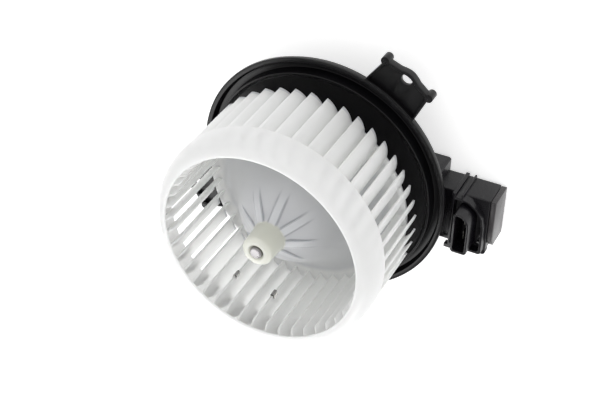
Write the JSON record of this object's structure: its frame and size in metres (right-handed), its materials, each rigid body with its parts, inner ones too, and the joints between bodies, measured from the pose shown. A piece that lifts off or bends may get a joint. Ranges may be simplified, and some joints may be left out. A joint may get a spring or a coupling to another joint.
{
  "type": "car cabin blower motor",
  "caption": "Car cabin blower: squirrel-cage fan wheel on an enclosed brushed motor, in a moulded flange with fixing ears and a plug box.",
  "frame": {"origin": "centre of the rear cover's flat back face", "axes": "+Z along the fan's axis towards the inlet, +X towards the connector box"},
  "size_m": [0.2201, 0.2096, 0.1252],
  "materials": {
    "white_plastic": "natural white, slightly translucent",
    "black_plastic": "satin moulded black",
    "box_plastic": "satin moulded dark grey",
    "cover_plastic": "moulded grey-brown",
    "shaft_steel": "ground or plated",
    "clip_steel": "bright spring steel",
    "dark_steel": "dark plated",
    "copper": "copper",
    "bronze": "sintered bronze",
    "brass": "sheet brass",
    "ferrite": "ferrite",
    "carbon": "pressed carbon",
    "card": "brown laminate",
    "board": "green board",
    "nylon": "natural nylon",
    "rubber": "black rubber",
    "lead_cover": "black insulation"
  },
  "bodies": {
    "stator": {"flange_housing": "black_plastic", "rear_cover": "black_plastic", "motor_can": "shaft_steel", "end_plate": "shaft_steel", "magnet_1": "ferrite", "magnet_2": "ferrite", "magnet_spring_1": "clip_steel", "magnet_spring_2": "clip_steel", "upper_bearing": "bronze", "lower_bearing": "bronze", "upper_bearing_retainer": "clip_steel", "lower_bearing_retainer": "clip_steel", "brush_card": "card", "brush_holder_1": "brass", "brush_holder_2": "brass", "brush_1": "carbon", "brush_2": "carbon", "brush_spring_1": "clip_steel", "brush_spring_2": "clip_steel", "upper_isolator": "rubber", "lower_isolator": "rubber", "cover_screw_1": "dark_steel", "cover_screw_2": "dark_steel", "cover_screw_3": "dark_steel", "box_screw_1": "dark_steel", "box_screw_2": "dark_steel", "connector_box": "box_plastic", "box_cover": "cover_plastic", "circuit_board": "board", "noise_choke": "copper", "capacitor": "card", "terminal_1": "brass", "terminal_2": "brass", "lead_1": "lead_cover", "lead_2": "lead_cover"},
    "rotor": {"fan_wheel": "white_plastic", "balance_clip_1": "clip_steel", "balance_clip_2": "clip_steel", "motor_shaft": "shaft_steel", "armature_core": "dark_steel", "armature_winding": "copper", "commutator": "copper", "upper_thrust_washer": "nylon", "lower_thrust_washer": "nylon"}
  },
  "joints": [
    {"name": "fan_spin", "type": "hinge", "parent": "stator", "child": "rotor", "pos_m": [0, 0, 0.0543], "axis": [0, 0, 1], "continuous": true}
  ]
}
